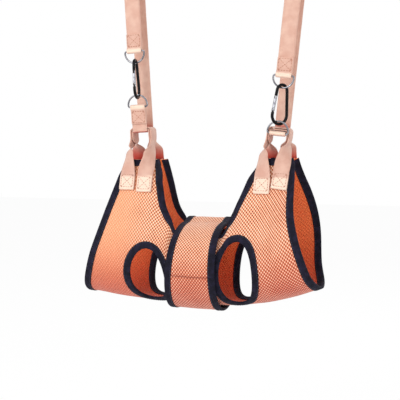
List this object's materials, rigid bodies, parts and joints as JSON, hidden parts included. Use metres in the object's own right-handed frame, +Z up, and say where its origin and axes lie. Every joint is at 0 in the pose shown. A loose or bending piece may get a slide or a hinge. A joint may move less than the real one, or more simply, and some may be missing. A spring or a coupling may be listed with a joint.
{
  "type": "pet grooming hammock",
  "caption": "Hanging mesh sling for a small pet, with leg holes, a wrap-over belly band, webbing handles and two hanging straps closed by snap hooks.",
  "frame": {"origin": "midway between the inner tops of the two hanging loops, on the line of the bars that hold it", "axes": "+X towards the head opening, +Y away from the side with the snap hooks, +Z up along the hanging straps"},
  "size_m": [0.3937, 0.1544, 0.5267],
  "materials": {
    "spacer_mesh": "orange air mesh with small dark holes",
    "edge_tape": "dark navy woven binding tape",
    "webbing": "peach woven webbing, box stitched",
    "hook_and_loop": "hook and loop fastener",
    "black_hook": "black painted steel wire",
    "steel": "bright zinc-plated steel"
  },
  "bodies": {
    "sling": {"sling_mesh": "spacer_mesh", "rear_end_tape": "edge_tape", "front_end_tape": "edge_tape", "near_side_tape": "edge_tape", "far_side_tape": "edge_tape", "rear_near_top_tape": "edge_tape", "rear_far_top_tape": "edge_tape", "front_near_top_tape": "edge_tape", "front_far_top_tape": "edge_tape", "rear_near_leg_tape": "edge_tape", "rear_far_leg_tape": "edge_tape", "front_near_leg_tape": "edge_tape", "front_far_leg_tape": "edge_tape", "band_belly_panel": "spacer_mesh", "band_near_flap": "spacer_mesh", "band_far_flap": "spacer_mesh", "band_belly_rear_tape": "edge_tape", "band_belly_front_tape": "edge_tape", "band_near_flap_tape": "edge_tape", "band_far_flap_tape": "edge_tape", "hook_patch": "hook_and_loop", "loop_patch": "hook_and_loop", "rear_near_handle": "webbing", "rear_far_handle": "webbing", "front_near_handle": "webbing", "front_far_handle": "webbing", "rear_strap": "webbing", "front_strap": "webbing"},
    "rear_upper_ring": {"rear_upper_ring": "steel"},
    "rear_lower_ring": {"rear_lower_ring": "steel"},
    "rear_hook": {"rear_hook_body": "black_hook", "rear_hook_pin": "steel"},
    "rear_gate": {"rear_hook_gate": "steel", "rear_hook_spring": "steel"},
    "front_upper_ring": {"front_upper_ring": "steel"},
    "front_lower_ring": {"front_lower_ring": "steel"},
    "front_hook": {"front_hook_body": "black_hook", "front_hook_pin": "steel"},
    "front_gate": {"front_hook_gate": "steel", "front_hook_spring": "steel"}
  },
  "joints": [
    {"name": "rear_upper_ring_tilt", "type": "hinge", "parent": "sling", "child": "rear_upper_ring", "pos_m": [-0.1271, -0.0166, -0.10906], "axis": [0.998, 0, 0.0632], "range_deg": [-4, 4]},
    {"name": "rear_lower_ring_tilt", "type": "hinge", "parent": "sling", "child": "rear_lower_ring", "pos_m": [-0.12146, -0.0166, -0.19808], "axis": [0.998, 0, 0.0632], "range_deg": [-4, 4]},
    {"name": "rear_hook_swivel", "type": "hinge", "parent": "sling", "child": "rear_hook", "pos_m": [-0.12325, -0.0166, -0.16988], "axis": [-0.0632, 0, 0.998], "range_deg": [-20, 20]},
    {"name": "rear_gate_hinge", "type": "hinge", "parent": "rear_hook", "child": "rear_gate", "pos_m": [-0.12218, -0.0296, -0.16326], "axis": [-0.9916, -0.1132, -0.0628], "range_deg": [0, 25], "stiffness_Nm_per_rad": 0.05, "springref_deg": -11.46},
    {"name": "front_upper_ring_tilt", "type": "hinge", "parent": "sling", "child": "front_upper_ring", "pos_m": [0.11797, -0.0166, -0.15197], "axis": [0.9945, 0, -0.1049], "range_deg": [-2, 2]},
    {"name": "front_lower_ring_tilt", "type": "hinge", "parent": "sling", "child": "front_lower_ring", "pos_m": [0.10861, -0.0166, -0.24068], "axis": [0.9945, 0, -0.1049], "range_deg": [-2, 2]},
    {"name": "front_hook_swivel", "type": "hinge", "parent": "sling", "child": "front_hook", "pos_m": [0.11157, -0.0166, -0.21258], "axis": [0.1049, 0, 0.9945], "range_deg": [0, 25]},
    {"name": "front_gate_hinge", "type": "hinge", "parent": "front_hook", "child": "front_gate", "pos_m": [0.1039, -0.02662, -0.20519], "axis": [-0.7618, 0.6428, 0.0804], "range_deg": [0, 25], "stiffness_Nm_per_rad": 0.05, "springref_deg": -11.46}
  ]
}
